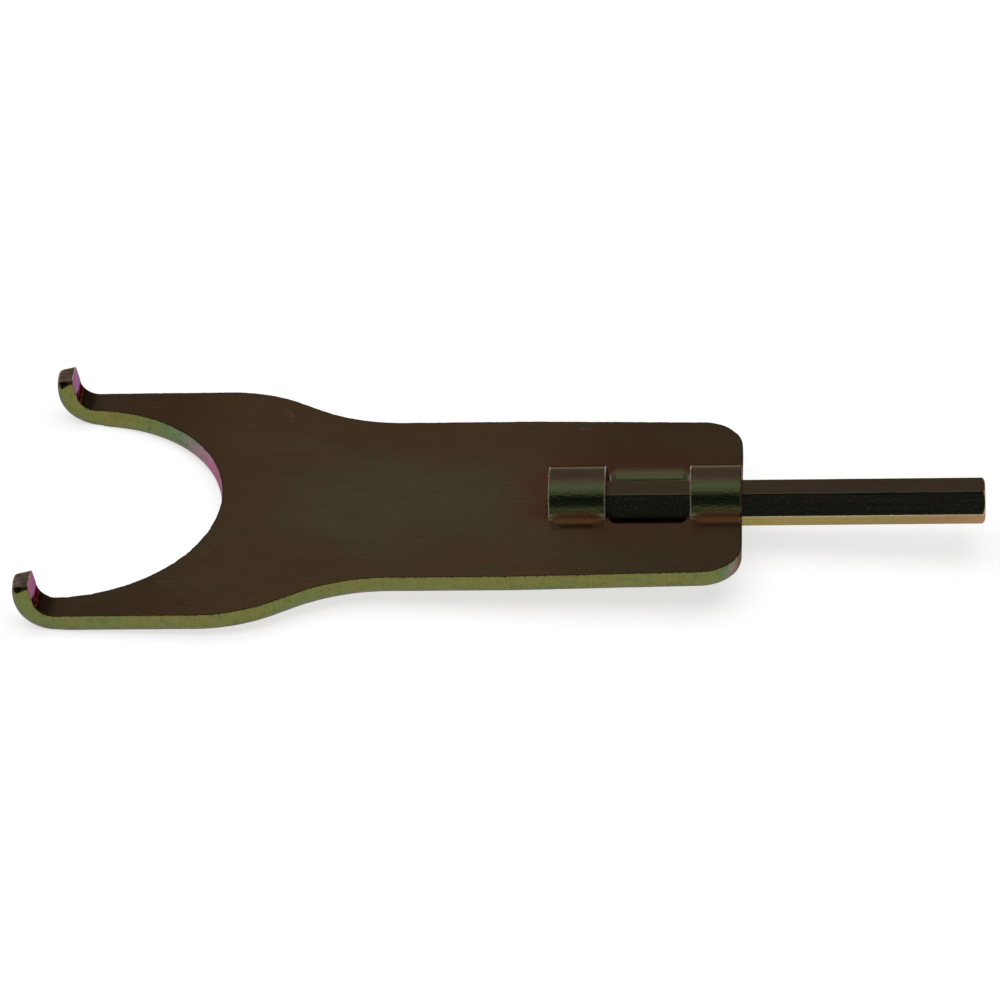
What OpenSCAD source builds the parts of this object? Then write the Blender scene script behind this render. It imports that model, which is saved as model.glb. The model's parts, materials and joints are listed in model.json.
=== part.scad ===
// Fire hydrant wrench: a blanked and formed steel fork plate with a
// hexagonal drive bar gripped in a lanced socket at its tail.
// The origin is the centre of the half-round jaw, on the mid-plane of the
// plate. That plane also holds the axis of the bar, so the bar lies on the
// X axis. +X runs from the jaw to the bar's free end, +Z is the side to
// which the two claws point.

/* [Plate] */
// Thickness of the plate
plate_t = 6; // [5:0.5:7]
// Width of the parallel neck behind the shoulders
neck_w = 80; // [72:1:88]
// Distance from the jaw centre to the square tail end
tail_x = 212.4; // [205:0.1:230]
// Radius of the two tail corners
corner_r = 13; // [4:1:18]
// How much each side is drawn in at the tail by the forming of the socket
tail_draw = 1.4; // [0.2:0.1:3]

/* [Jaw and arms] */
// Diameter of the half-round jaw
jaw_d = 96.5; // [90:0.5:102]
// Width of each arm beside the jaw
arm_w = 9.5; // [8:0.5:12]
// Distance from the jaw centre to the start of the shoulders
shoulder_x = 45.3; // [42:0.1:50]
// Radius of the convex half of each shoulder
shoulder_r1 = 47.6; // [40:0.1:52]
// Radius of the concave half of each shoulder
shoulder_r2 = 56.2; // [45:0.1:60]
// Steepest angle of the shoulder line
shoulder_a = 30.8; // [26:0.1:36]

/* [Claws] */
// Height of the claws above the plate's upper face
claw_h = 12; // [9:0.5:20]
// Inside radius of the bend below each claw
bend_r = 6.2; // [4:0.1:8]
// Distance from the jaw centre to the line where the arms start to bend
bend_x = 2.65; // [1:0.05:6]
// Loss of thickness from the bend to the tip of the claw
claw_taper = 0.9; // [0.1:0.1:1.5]

/* [Socket] */
// Distance from the tail end to the start of the first arch
socket_len = 60.5; // [55:0.5:66]
// Length of the first arch, the one nearer to the jaw
arch1_len = 18.2; // [15:0.1:20]
// Length of the second arch, the one at the tail end
arch2_len = 16.3; // [14:0.1:19]
// Wall left in the arches and the valley after they are stretched
arch_t = 4.7; // [4:0.1:5]
// Outer fillet radius at the foot of each arch
foot_r = 3.5; // [2:0.5:6]
// Inner fillet radius at the foot of each arch
root_r = 9.5; // [6:0.5:10]

/* [Bar] */
// Size of the hexagonal bar across its flats
hex_af = 12.7; // [12:0.1:13]
// Length of the bar beyond the tail end
bar_out = 75.5; // [40:0.5:150]
// Length of the chamfer at each end of the bar
bar_chamfer = 0.9; // [0.5:0.1:1.5]

/* [Hidden] */

fit_gap = 0.05;                         // bar corner to socket wall
arc_n = 14;                             // steps in each formed arc
half_t = plate_t/2;
jaw_r = jaw_d/2;
head_h = jaw_r + arm_w;                 // half the width over the arms
neck_h = neck_w/2;
hex_r = hex_af/sqrt(3);                 // bar corner radius
arch_ri = hex_r + fit_gap;
arch_ro = arch_ri + arch_t;
bend_ro = bend_r + plate_t;
socket_x = tail_x - socket_len;
arch1_x = socket_x + arch1_len;
arch2_x = tail_x - arch2_len;

// The shoulder: a convex arc, a straight line and a concave arc, with the
// line's angle reduced where the two arcs alone would drop too far.
drop = head_h - neck_h;
sh_a = min(shoulder_a, acos(1 - drop/(shoulder_r1 + shoulder_r2)));
sh_run = (shoulder_r1 + shoulder_r2)*sin(sh_a)
       + (drop - (shoulder_r1 + shoulder_r2)*(1 - cos(sh_a)))/tan(sh_a);
neck_x = shoulder_x + sh_run;

// Points on an arc about [cx, cy] from angle a0 to angle a1
function arc(cx, cy, r, a0, a1, n = arc_n) =
    [for (i = [0:n]) let (a = a0 + (a1 - a0)*i/n)
        [cx + r*cos(a), cy + r*sin(a)]];
function flip(pts) =
    [for (i = [len(pts) - 1:-1:0]) [pts[i][0], -pts[i][1]]];

// One side of the blank, from the arm's bend line to the tail end
side = concat(
    [[bend_x, head_h]],
    arc(shoulder_x, head_h - shoulder_r1, shoulder_r1, 90, 90 - sh_a),
    arc(neck_x, neck_h + shoulder_r2, shoulder_r2, 270 - sh_a, 270),
    [[socket_x - 8, neck_h]],
    arc(tail_x - corner_r, neck_h - tail_draw - corner_r, corner_r, 90, 0));

// Section through an arch: the upper and the lower face of the strip
out_y = sqrt(pow(arch_ro + foot_r, 2) - pow(half_t + foot_r, 2));
out_a = atan2(half_t + foot_r, out_y);
in_y = sqrt(pow(arch_ri + root_r, 2) - pow(root_r - half_t, 2));
in_a = atan2(root_r - half_t, in_y);
foot_y = max(out_y, in_y) + 0.4;
arch_section = concat(
    [[-foot_y, half_t]],
    arc(-out_y, half_t + foot_r, foot_r, 270, 360 - out_a),
    arc(0, 0, arch_ro, 180 - out_a, out_a, 2*arc_n),
    arc(out_y, half_t + foot_r, foot_r, 180 + out_a, 270),
    [[foot_y, half_t], [foot_y, -half_t]],
    arc(in_y, root_r - half_t, root_r, 270, 180 + in_a),
    arc(0, 0, arch_ri, in_a, 180 - in_a, 2*arc_n),
    arc(-in_y, root_r - half_t, root_r, 360 - in_a, 270),
    [[-foot_y, -half_t]]);

// One lanced strip of the socket: up = 1 for an arch, up = -1 for the valley
module strip(x0, x1, up) {
    translate([x0, 0, 0])
        rotate([90, 0, 90])
            linear_extrude(x1 - x0)
                polygon([for (p = arch_section) [p[0], up*p[1]]]);
}

// The bend and the upright claw at the end of one arm, on its +Y side
module claw() {
    z_bend = half_t + bend_r;
    z_tip = half_t + claw_h;
    y_w = arm_w + 1;                    // 1 mm into the jaw, cut away below
    // quarter bend
    translate([bend_x, head_h, z_bend])
        rotate([90, 0, 0])
            rotate([0, 0, 180])
                linear_extrude(y_w)
                    intersection() {
                        difference() {
                            circle(r = bend_ro, $fn = 96);
                            circle(r = bend_r, $fn = 96);
                        }
                        square(bend_ro + 1);
                    }
    // upright
    translate([0, head_h, 0])
        rotate([90, 0, 0])
            linear_extrude(y_w)
                polygon([
                    [bend_x - bend_ro, z_bend],
                    [bend_x - bend_r, z_bend],
                    [bend_x - bend_r - claw_taper, z_tip],
                    [bend_x - bend_ro, z_tip]]);
}

// The blanked plate: jaw, shoulders, neck and tail, with the socket formed
// from its own metal and the claws bent up from the ends of its arms
module fork_plate() {
    color("#6f6b3d") {
        difference() {
            union() {
                difference() {
                    translate([0, 0, -half_t])
                        linear_extrude(plate_t)
                            polygon(concat(side, flip(side)));
                    translate([socket_x, -foot_y, -plate_t])
                        cube([socket_len + 1, 2*foot_y, 2*plate_t]);
                }
                strip(socket_x, arch1_x, 1);
                strip(arch1_x, arch2_x, -1);
                strip(arch2_x, tail_x, 1);
                claw();
                mirror([0, 1, 0]) claw();
            }
            // the jaw: a half circle, then straight between the arms
            translate([0, 0, -plate_t])
                linear_extrude(2*plate_t + claw_h) {
                    intersection() {
                        circle(r = jaw_r, $fn = 180);
                        translate([0, -jaw_r - 1]) square([jaw_r + 1, 2*jaw_r + 2]);
                    }
                    translate([-2*bend_ro, -jaw_r]) square([2*bend_ro, 2*jaw_r]);
                }
        }
    }
}

// The hexagonal bar: flats parallel to the plate, corners broken at each end
module hex_bar() {
    x0 = socket_x + 0.3;
    len_bar = tail_x + bar_out - x0;
    color("#8a7b4c") {
        translate([x0, 0, 0])
            rotate([0, 90, 0])
                intersection() {
                    rotate([0, 0, 90])
                        cylinder(h = len_bar, r = hex_r, $fn = 6);
                    rotate_extrude($fn = 96)
                        polygon([
                            [0, 0],
                            [hex_af/2 - 0.15, 0],
                            [hex_r + 0.2, bar_chamfer],
                            [hex_r + 0.2, len_bar - bar_chamfer],
                            [hex_af/2 - 0.15, len_bar],
                            [0, len_bar]]);
                }
    }
}

fork_plate();
hex_bar();
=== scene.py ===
import bpy, bmesh, math, json
import numpy as np
from mathutils import Vector, Matrix
from mathutils.geometry import delaunay_2d_cdt


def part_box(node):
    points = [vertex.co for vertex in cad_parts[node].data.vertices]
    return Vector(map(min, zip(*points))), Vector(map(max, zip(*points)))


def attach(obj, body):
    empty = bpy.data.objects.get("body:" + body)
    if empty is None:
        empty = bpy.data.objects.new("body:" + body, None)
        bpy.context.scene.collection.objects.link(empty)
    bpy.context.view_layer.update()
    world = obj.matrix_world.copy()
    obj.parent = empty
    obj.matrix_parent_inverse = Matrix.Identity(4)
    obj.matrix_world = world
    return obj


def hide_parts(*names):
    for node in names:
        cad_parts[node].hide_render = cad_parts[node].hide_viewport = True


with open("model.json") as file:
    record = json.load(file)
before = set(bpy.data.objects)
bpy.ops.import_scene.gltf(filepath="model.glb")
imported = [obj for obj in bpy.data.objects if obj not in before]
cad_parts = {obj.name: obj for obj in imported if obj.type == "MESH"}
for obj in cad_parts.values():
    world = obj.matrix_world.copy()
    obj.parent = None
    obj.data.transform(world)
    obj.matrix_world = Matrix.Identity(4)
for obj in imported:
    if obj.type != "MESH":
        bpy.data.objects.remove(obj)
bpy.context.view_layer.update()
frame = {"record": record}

MM = 0.001

# ------------------------------------------------------------------ sizes
# Everything in millimetres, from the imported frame: origin at the jaw centre
# on the plate's mid-plane, +X towards the bar's free end.
plo, phi_ = [[c / MM for c in v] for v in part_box("fork_plate")]
blo, bhi = [[c / MM for c in v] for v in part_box("hex_bar")]
mounts = {m["name"]: m for m in frame["record"]["mounts"]}
JAW_R = float(mounts["jaw"]["dims"]["r_mm"])
T = float(mounts["jaw"]["dims"]["length_mm"])
H2 = T / 2.0
HEAD = phi_[1]                       # half width over the arms
TAIL_X = phi_[0]
Z_TIP = phi_[2]
ARCH_RO = -plo[2]
HEX_AF = bhi[2] - blo[2]
HEX_R = HEX_AF / math.sqrt(3.0)
ARCH_RI = HEX_R + 0.05
BEND_R = 6.2
BEND_RO = BEND_R + T
BEND_X = plo[0] + BEND_RO            # line where the arms start to bend
ZC = H2 + BEND_R                     # height of the bend's axis
NECK = 40.0
TAIL_DRAW = 1.4
CORNER = 13.0
SH_X, SH_R1, SH_R2, SH_A = 45.3, 47.6, 56.2, math.radians(30.8)
S0 = TAIL_X - 60.5                   # first shear line
S1 = S0 + 18.2                       # second
S2 = TAIL_X - 16.3                   # third
RN = 8.8                             # neutral radius of the claw bend
CLAW_TAPER = 0.9
Y_BLK = 17.0                         # half width of the socket block
Y_TIP = 12.0                         # half length of each shear line
FOOT_R, ROOT_R = 3.5, 9.5            # fillets on the inside and the outside of each fold
OY_MID = math.sqrt((ARCH_RO + FOOT_R) ** 2 - (H2 + FOOT_R) ** 2)
IY_MID = math.sqrt((ARCH_RI + ROOT_R) ** 2 - (ROOT_R - H2) ** 2)

# ------------------------------------------------------------------ noise
_tabs = {}
def vn(x, seed):
    """Smooth 1-D value noise, -1..1."""
    if seed not in _tabs:
        _tabs[seed] = np.random.RandomState(seed).rand(4096) * 2 - 1
    t = _tabs[seed]
    x = np.asarray(x, float) + 1000.0
    i = np.floor(x).astype(int)
    f = x - i
    f = f * f * (3 - 2 * f)
    return t[i % 4096] * (1 - f) + t[(i + 1) % 4096] * f

def smooth(x):
    x = np.clip(x, 0.0, 1.0)
    return x * x * (3 - 2 * x)

# ------------------------------------------------------------------ outline
def seg(p, q, ds):
    n = max(1, int(round(math.dist(p, q) / ds)))
    return [(p[0] + (q[0] - p[0]) * i / n, p[1] + (q[1] - p[1]) * i / n) for i in range(n)]

def arc(cx, cy, r, a0, a1, ds):
    n = max(2, int(round(abs(a1 - a0) * r / ds)))
    return [(cx + r * math.cos(a0 + (a1 - a0) * i / n), cy + r * math.sin(a0 + (a1 - a0) * i / n)) for i in range(n)]

DS = 0.55
ARC_L = RN * math.pi / 2
E_UP = Z_TIP - ZC                    # straight part of the claw
S_MIN = BEND_X - ARC_L - E_UP        # end of the arm in the flat blank
RC = 1.9                             # corner radius at the arm's end, in the blank
TAU = 2 * math.pi

drop = HEAD - NECK
line_len = (drop - (SH_R1 + SH_R2) * (1 - math.cos(SH_A))) / math.sin(SH_A)
NECK_X = SH_X + (SH_R1 + SH_R2) * math.sin(SH_A) + line_len * math.cos(SH_A)
yT = NECK - TAIL_DRAW
pa = (NECK_X - SH_R2 * math.sin(SH_A), NECK + SH_R2 * (1 - math.cos(SH_A)))
pb = (SH_X + SH_R1 * math.sin(SH_A), HEAD - SH_R1 * (1 - math.cos(SH_A)))
half = []
half += seg((TAIL_X, Y_BLK), (TAIL_X, yT - CORNER), DS)
half += arc(TAIL_X - CORNER, yT - CORNER, CORNER, 0, math.pi / 2, DS)
half += seg((TAIL_X - CORNER, yT), (S0 - 8, NECK), DS)
half += seg((S0 - 8, NECK), (NECK_X, NECK), DS)
half += arc(NECK_X, NECK + SH_R2, SH_R2, math.radians(270), math.radians(270) - SH_A, DS)
half += seg(pa, pb, DS)
half += arc(SH_X, HEAD - SH_R1, SH_R1, math.pi / 2 - SH_A, math.pi / 2, DS)
half += seg((SH_X, HEAD), (8.0, HEAD), DS)
half += seg((8.0, HEAD), (S_MIN + RC, HEAD), 0.5)
half += arc(S_MIN + RC, HEAD - RC, RC, math.pi / 2, math.pi, 0.25)
half += seg((S_MIN, HEAD - RC), (S_MIN, JAW_R + RC), 0.5)
half += arc(S_MIN + RC, JAW_R + RC, RC, math.pi, 1.5 * math.pi, 0.25)
half += seg((S_MIN + RC, JAW_R), (8.0 - 8.0, JAW_R), 0.5)
half += arc(0, 0, JAW_R, math.pi / 2, 0, DS)
mid = [(JAW_R, 0.0)]
pts = np.array(half + mid + [(x, -y) for x, y in reversed(half)])
N = len(pts)
d = np.zeros_like(pts)
d[1:-1] = pts[2:] - pts[:-2]
d[0] = d[-1] = (0, 1)
d /= np.linalg.norm(d, axis=1)[:, None]
nrm = np.c_[d[:, 1], -d[:, 0]]       # out of the metal
arcl = np.r_[0, np.cumsum(np.linalg.norm(np.diff(pts, axis=0), axis=1))]

# wall levels: (inset, height) from the sheared upper edge to the rolled lower edge
LV = [(1.00, 3.0), (0.40, 3.0), (0.13, 2.99), (0.045, 2.945), (0.01, 2.84), (0.0, 2.5), (0.0, 1.75), (0.0, 1.1),
      (0.0, 0.4), (0.0, -0.4), (0.0, -1.1), (0.02, -1.6), (0.08, -2.03), (0.25, -2.42), (0.55, -2.74), (0.95, -2.93),
      (1.35, -3.0), (1.75, -3.0)]
LV = [(a, z * H2 / 3.0) for a, z in LV]
NL = len(LV)

rs = np.random.RandomState(7)
nick_s = np.sort(rs.uniform(0, arcl[-1], 190))
nick_w = rs.uniform(0.25, 0.95, 190)
nick_d = rs.uniform(0.02, 0.15, 190)
nick = np.zeros(N)
for s, w, dd in zip(nick_s, nick_w, nick_d):
    nick = np.maximum(nick, dd * np.exp(-((arcl - s) / w) ** 2))
nick *= np.where((pts[:, 1] > 0) & (np.abs(pts[:, 1]) > 35), 0.25, 1.0)
quiet = smooth((arcl - 3) / 8.0) * smooth((arcl[-1] - 3 - arcl) / 8.0)   # calm where the wall meets the socket block
is_jaw = (np.hypot(pts[:, 0], pts[:, 1]) < JAW_R + 0.05) & (pts[:, 0] > -2)
jaw_m = smooth((pts[:, 0] + 4) / 12.0) * is_jaw
bend_m = smooth((BEND_X + 4 - pts[:, 0]) / 5.0) * (np.abs(pts[:, 1]) > 40)
bend_only = bend_m * smooth((pts[:, 0] - (BEND_X - ARC_L - 2)) / 4.0)
side_out = np.abs(pts[:, 1]) > (JAW_R + HEAD) / 2

def round_corners(f, ins, p2):
    """The rings at the arm ends' corners, drawn in towards the centre of the radius rolled there."""
    r2 = RC + 2.4 * (1 - f) ** 0.8
    for cy, out in ((HEAD, -1), (JAW_R, 1)):
        for sg in (1, -1):
            c = np.array([S_MIN + r2, sg * (cy + out * r2)])
            dx, dy = c[0] - pts[:, 0], (pts[:, 1] - c[1]) * sg * -out
            ok = (dx > 0) & (dy > 0) & (dx < r2 + 0.3) & (dy < r2 + 0.3)
            v = pts - c
            ray = v / np.maximum(np.linalg.norm(v, axis=1), 1e-9)[:, None]
            p2 = np.where(ok[:, None], c + ray * (r2 - ins)[:, None], p2)
    return p2

def wall_inset(k):
    a, z = LV[k]
    f = (z + H2) / T                                   # 0 lower edge, 1 upper edge
    ins = np.full(N, a)
    if k >= 11:
        ins -= 0.55 * a * jaw_m                       # the jaw's lower edge is rolled less
    ins -= 0.8 * (1 - f) * jaw_m                      # and its wall leans in slightly towards it
    wk = [0.35, 0.8, 1.0, 1.0, 0.8, 0.45, 0.15][k] if k < 7 else 0.0
    ins += quiet * wk * nick
    if k < 7:
        ins += quiet * (0.25 + 0.75 * wk) * (0.03 + 0.022 * vn(arcl / 0.8, 11) + 0.02 * vn(arcl / 2.3, 12))
    if 4 <= k <= 12:                                   # sheared wall: faint uprights and waves
        ins += quiet * (0.022 + 0.014 * vn(arcl / 0.9, 20) + 0.010 * vn(arcl / 0.7, 30 + k) + 0.012 * vn(arcl / 6.0, 21))
    if k >= 12:
        ins += quiet * (0.03 + 0.03 * vn(arcl / 3.0, 22) )
    # the bend squeezes the metal out on its inside and draws it in on its outside
    ins += bend_only * np.where(side_out, 0.42, 0.30) * (1 - f) ** 1.2
    return ins

rings = []
for k in range(NL):
    ins = wall_inset(k)
    p2 = pts - nrm * ins[:, None]
    p2 = round_corners((LV[k][1] + H2) / T, ins, p2)
    z = np.full(N, LV[k][1])
    if k in (1, 2, 3):
        z = z + quiet * (0.03 + 0.03 * vn(arcl / 0.7, 40) + 0.03 * vn(arcl / 3.1, 41)) * (1 - np.clip(nick * 4, 0, 1)) * (1 - bend_m)
        z = z - quiet * 0.9 * nick * (k != 1)
    rings.append(np.c_[p2, z])

# ------------------------------------------------------------------ mesh build
V, FLAT, WALL, FORM, EDGE_WEAR_HIGHLIGHT, FIL, ARCH_REFLECTION = [], [], [], [], [], [], []
F, FM = [], []

def bend3(s, y, z):
    """The blank's point (s, y, height) on the finished plate."""
    if s >= BEND_X:
        return (s, y, z)
    th = (BEND_X - s) / RN
    if th <= math.pi / 2:
        t = th / (math.pi / 2)
        zz = z
        rho = ZC - zz
        return (BEND_X - rho * math.sin(th), y, ZC - rho * math.cos(th))
    e = (BEND_X - ARC_L) - s
    k = max(0.0, min(1.0, e / E_UP))
    zz = -H2 + (z + H2) * (T - CLAW_TAPER * k) / T
    rho = ZC - zz
    top = k * k * ((-0.32 if y < 0 else -0.02) - 0.28 * (H2 - z) / T)
    return (BEND_X - rho, y, ZC + e + top)

def addv(p3, flat, wall=(0, 0, 0), form=0.0, edge=0.0, fil=0.0, arch_reflection=0.0):
    V.append(p3); FLAT.append(flat); WALL.append(wall); FORM.append(form); EDGE_WEAR_HIGHLIGHT.append(edge); FIL.append(fil); ARCH_REFLECTION.append(arch_reflection)
    return len(V) - 1

def addgrid(idx, mat):
    for i in range(len(idx) - 1):
        for j in range(len(idx[0]) - 1):
            F.append((idx[i][j], idx[i + 1][j], idx[i + 1][j + 1], idx[i][j + 1])); FM.append(mat)

# outer walls
wall_idx = []
for k in range(NL):
    row = []
    for i in range(N):
        s, y, z = rings[k][i]
        fm = float(bend_m[i])
        row.append(addv(bend3(s, y, z), (s, y, z), (arcl[i], LV[k][1], 1.0), fm))
    wall_idx.append(row)
for k in range(NL - 1):
    m = 0 if k < 1 or k >= NL - 2 else 1
    for i in range(N - 1):
        me_ = 2 if m == 1 and max(pts[i][0], pts[i + 1][0]) < S_MIN + 0.25 * RC else m
        F.append((wall_idx[k][i], wall_idx[k + 1][i], wall_idx[k + 1][i + 1], wall_idx[k][i + 1])); FM.append(me_)

# ---- socket block
NFL, NF, NC = 4, 7, (16)
J = 2 * (NFL + NF + NC)
JC = J // 2

def sect_outer(oy, ro=ARCH_RO):
    f = (oy * oy - ro * ro + H2 * H2) / (2 * (ro - H2))
    oa = math.atan2(H2 + f, oy)
    left = [(-Y_BLK + (Y_BLK - oy) * i / NFL, H2) for i in range(NFL)]
    a0, a1 = math.radians(270), TAU - oa
    left += [(-oy + f * math.cos(a0 + (a1 - a0) * i / NF), H2 + f + f * math.sin(a0 + (a1 - a0) * i / NF)) for i in range(NF)]
    a0, a1 = math.pi - oa, math.pi / 2
    left += [(ro * math.cos(a0 + (a1 - a0) * i / NC), ro * math.sin(a0 + (a1 - a0) * i / NC)) for i in range(NC)]
    return left + [(0.0, ro)] + [(-y, z) for y, z in reversed(left)]

def sect_inner(iy, ri=ARCH_RI):
    r = (iy * iy - ri * ri + H2 * H2) / (2 * (ri + H2))
    ia = math.atan2(r - H2, iy)
    left = [(-Y_BLK + (Y_BLK - iy) * i / NFL, -H2) for i in range(NFL)]
    a0, a1 = math.radians(270), TAU - ia
    left += [(-iy + r * math.cos(a0 + (a1 - a0) * i / NF), r - H2 + r * math.sin(a0 + (a1 - a0) * i / NF)) for i in range(NF)]
    a0, a1 = math.pi - ia, math.pi / 2
    left += [(ri * math.cos(a0 + (a1 - a0) * i / NC), ri * math.sin(a0 + (a1 - a0) * i / NC)) for i in range(NC)]
    return left + [(0.0, ri)] + [(-y, z) for y, z in reversed(left)]

def sect(x, xa, xb, up, free_a=False, free_b=False):
    """(top, bottom) section of a strip at x, each J + 1 points from -Y to +Y."""
    if up == 0:
        ys = [-Y_BLK + (Y_BLK - Y_TIP) * i / NFL for i in range(NFL)]
        n = 2 * (NF + NC)
        ys += [-Y_TIP + 2 * Y_TIP * i / n for i in range(n)]
        ys += [Y_TIP + (Y_BLK - Y_TIP) * i / NFL for i in range(NFL + 1)]
        return [(y, H2) for y in ys], [(y, -H2) for y in ys]
    run = 4.5 if up > 0 else 2.6
    wa = 1.0 if free_a else float(smooth((x - xa) / run))
    wb = 1.0 if free_b else float(smooth((xb - x) / run))
    w = min(wa, wb)
    out = sect_outer(Y_TIP + (OY_MID - Y_TIP) * w)
    inn = sect_inner(Y_TIP + (IY_MID - Y_TIP) * w)
    if up > 0:
        return out, inn
    return [(y, -z) for y, z in inn], [(y, -z) for y, z in out]

GAP = 0.07
# edge profile at a shear line: (distance from the line, drop towards mid-thickness)
E_TOP = [(1.3, 0.0), (0.8, 0.0), (0.46, 0.035), (0.24, 0.11), (0.10, 0.24), (0.0, 0.46)]
E_BOT = [(1.0, 0.0), (0.5, 0.0), (0.22, 0.05), (0.08, 0.14), (0.0, 0.30)]

def unroll(top):
    u = [0.0]
    for a, b in zip(top[:-1], top[1:]):
        u.append(u[-1] + math.dist(a, b))
    c = u[JC]
    return [v - c for v in u]

def fade_at(j, ulen):
    """0 at the ends of a shear line, 1 along its middle."""
    a, b = ulen[NFL], ulen[J - NFL]
    return float(smooth(min(ulen[j] - a, b - ulen[j]) / 2.6)) if NFL < j < J - NFL else 0.0

def shear_noise(y, seed):
    return float(0.5 * vn(y / 0.7, seed) + 0.35 * vn(y / 0.33, seed + 1) + 0.3 * vn(y / 2.0, seed + 2))

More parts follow.
